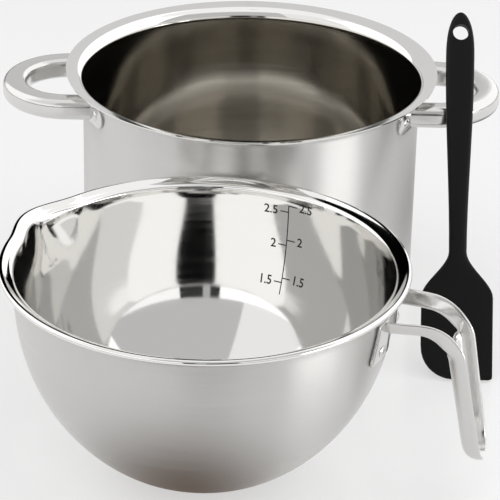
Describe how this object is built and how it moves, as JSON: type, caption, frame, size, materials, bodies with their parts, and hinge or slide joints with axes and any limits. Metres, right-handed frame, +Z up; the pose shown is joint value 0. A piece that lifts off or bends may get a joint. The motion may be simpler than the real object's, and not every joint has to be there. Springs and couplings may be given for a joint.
{
  "type": "double boiler",
  "caption": "Stainless double boiler laid out ready to use: flared pot with loop handles, round pouring bowl with a hooked handle, and a silicone spatula leaning on the pot.",
  "frame": {"origin": "centre of the pot's base, on the table", "axes": "+X to the pot's right handle, +Y to the back (the bowl stands on the -Y side), +Z up"},
  "size_m": [0.2998, 0.4326, 0.1842],
  "materials": {
    "pot_steel": "satin outside, mirror polish inside and on the rim",
    "bowl_steel": "satin outside, mirror polish inside and on the rim",
    "polished_steel": "mirror polish",
    "base_aluminium": "mill finish, hidden",
    "core_steel": "plain, hidden",
    "silicone": "matte, moulded"
  },
  "bodies": {
    "pot": {"pot_body": "pot_steel", "pot_base_core": "base_aluminium", "pot_base_cap": "pot_steel", "pot_handle_left": "polished_steel", "pot_handle_right": "polished_steel", "bracket_left_front": "polished_steel", "bracket_left_back": "polished_steel", "bracket_right_front": "polished_steel", "bracket_right_back": "polished_steel", "button_left_front": "polished_steel", "button_left_back": "polished_steel", "button_right_front": "polished_steel", "button_right_back": "polished_steel"},
    "bowl": {"bowl_body": "bowl_steel", "bowl_handle": "polished_steel", "bowl_rivet_front": "polished_steel", "bowl_rivet_back": "polished_steel"},
    "spatula": {"spatula_body": "silicone", "spatula_core": "core_steel"}
  },
  "joints": [
    {"name": "bowl_lift", "type": "slide", "parent": "pot", "child": "bowl", "axis": [0, -0.6, 0.8], "range_m": [0, 0.25]},
    {"name": "spatula_lift", "type": "slide", "parent": "pot", "child": "spatula", "axis": [0, 0, 1], "range_m": [0, 0.2]}
  ]
}
